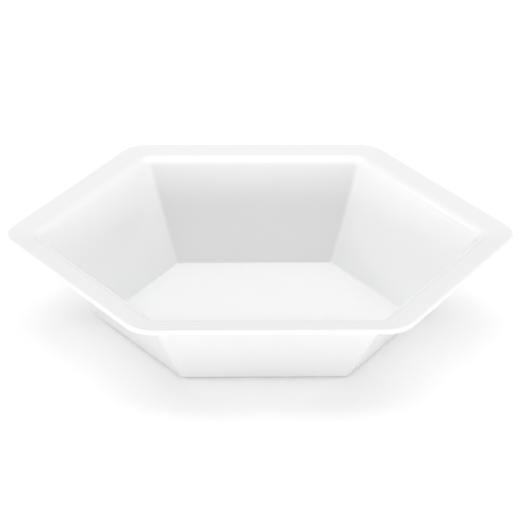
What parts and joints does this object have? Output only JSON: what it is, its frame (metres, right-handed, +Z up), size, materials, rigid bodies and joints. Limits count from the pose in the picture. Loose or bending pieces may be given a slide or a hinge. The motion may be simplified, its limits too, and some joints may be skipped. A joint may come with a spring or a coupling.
{
  "type": "weighing boat",
  "caption": "Shallow hexagonal cup of thin white plastic with a narrow rim and a pouring tip at each end, for weighing out and pouring powders and liquids.",
  "frame": {"origin": "centre of the underside of the floor, on the table that the boat stands on", "axes": "+X towards one pouring tip, along the boat's length; +Y across it, towards a straight side; +Z up, out of the cup"},
  "size_m": [0.092, 0.074, 0.018],
  "materials": {
    "white_polystyrene": "smooth white polystyrene sheet with a soft satin sheen"
  },
  "bodies": {
    "root": {"weighing_boat": "white_polystyrene"}
  },
  "joints": []
}
